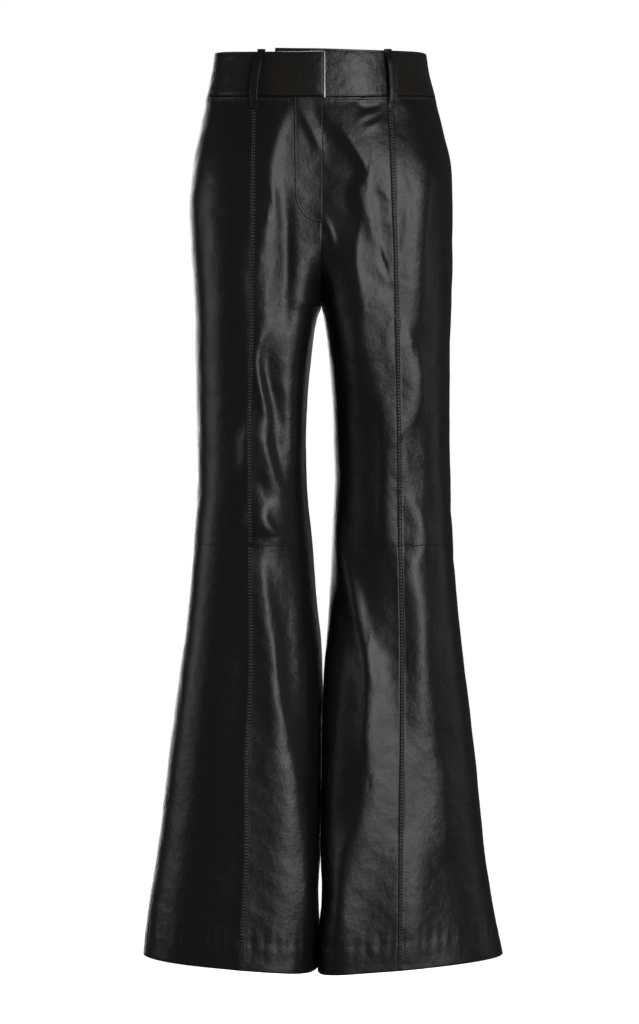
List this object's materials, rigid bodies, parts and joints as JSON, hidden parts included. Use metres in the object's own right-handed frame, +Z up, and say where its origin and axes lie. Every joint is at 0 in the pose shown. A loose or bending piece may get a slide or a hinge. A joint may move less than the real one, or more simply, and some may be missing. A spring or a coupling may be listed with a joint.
{
  "type": "leather trousers",
  "caption": "High-waisted flared trousers in smooth black leather, with a seam down the front of each leg, a fly, a lapped waistband and belt loops, filled out as if worn.",
  "frame": {"origin": "middle of the waist, about half way up the waistband", "axes": "+Z up towards the waist, the front faces -Y, the wearer's left is at +X"},
  "size_m": [0.4455, 0.2471, 1.1406],
  "materials": {
    "leather": "semi-gloss smooth black nappa"
  },
  "bodies": {
    "root": {"front_inner_upper_right": "leather", "front_inner_lower_right": "leather", "front_outer_upper_right": "leather", "front_outer_lower_right": "leather", "back_upper_right": "leather", "back_lower_right": "leather", "front_inner_upper_left": "leather", "front_inner_lower_left": "leather", "front_outer_upper_left": "leather", "front_outer_lower_left": "leather", "back_upper_left": "leather", "back_lower_left": "leather", "fly_placket": "leather", "waistband_right": "leather", "waistband_left": "leather", "waistband_back": "leather", "belt_loop_front_right": "leather", "belt_loop_front_left": "leather", "belt_loop_back_right": "leather", "belt_loop_back_centre": "leather", "belt_loop_back_left": "leather"}
  },
  "joints": []
}
